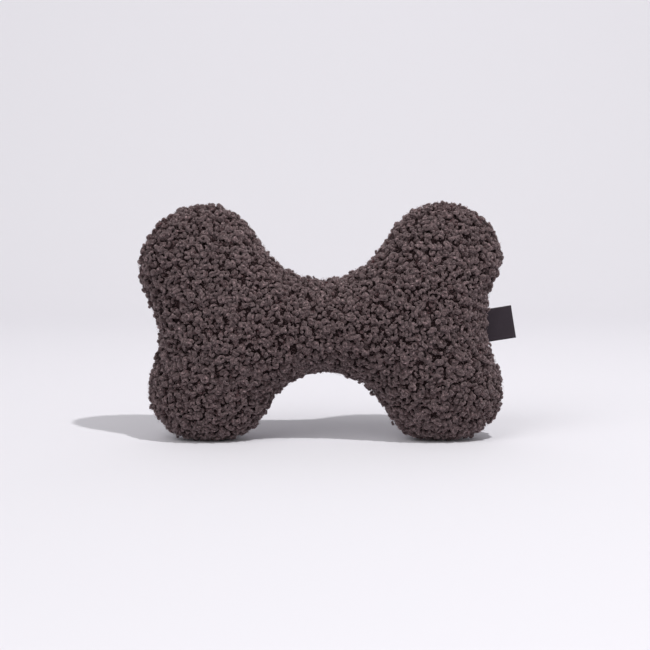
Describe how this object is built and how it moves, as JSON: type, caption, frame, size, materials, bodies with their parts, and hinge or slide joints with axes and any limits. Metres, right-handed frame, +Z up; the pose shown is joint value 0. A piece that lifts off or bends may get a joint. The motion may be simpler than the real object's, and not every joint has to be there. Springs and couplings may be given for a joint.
{
  "type": "plush dog toy",
  "caption": "Bone-shaped stuffed plush dog toy in curly boucle fleece, with a squeaker inside and a folded woven label in its side seam.",
  "frame": {"origin": "on the floor, under the middle of the toy's whole width and thickness", "axes": "+X along the bone towards the end with the label, +Y from the front panel to the back panel, +Z up; the toy stands on its two lower lobes"},
  "size_m": [0.2296, 0.062, 0.1454],
  "materials": {
    "boucle": "dark grey-brown curly boucle fleece",
    "thread": "dark spun polyester sewing thread",
    "label": "near-black damask-woven ribbon",
    "filling": "white hollow-fibre polyester wadding",
    "bulb": "blow-moulded translucent polyethylene",
    "sleeve": "injection-moulded polystyrene",
    "reed": "thin polyester film"
  },
  "bodies": {
    "toy": {"front_panel": "boucle", "back_panel": "boucle", "seam_needle_thread": "thread", "seam_bobbin_thread": "thread", "closing_thread": "thread", "label_tail_front": "label", "label_tail_back": "label", "fill_core_front": "filling", "fill_core_back": "filling", "fill_upper_left": "filling", "fill_upper_right": "filling", "fill_lower_left": "filling", "fill_lower_right": "filling", "squeaker_bulb": "bulb", "squeaker_sleeve": "sleeve", "reed_bed": "sleeve", "reed_clamp": "sleeve"},
    "label": {"side_label": "label"},
    "reed": {"squeaker_reed": "reed"}
  },
  "joints": [
    {"name": "label_bend", "type": "hinge", "parent": "toy", "child": "label", "pos_m": [0.10046, 0, 0.0708], "axis": [-0.165, 0, 0.9863], "range_deg": [-70, 70], "stiffness_Nm_per_rad": 0.0002},
    {"name": "reed_flutter", "type": "hinge", "parent": "toy", "child": "reed", "pos_m": [-0.00464, 0.0102, 0.07035], "axis": [1, 0, 0], "range_deg": [-6, 2.5], "stiffness_Nm_per_rad": 0.0005}
  ]
}
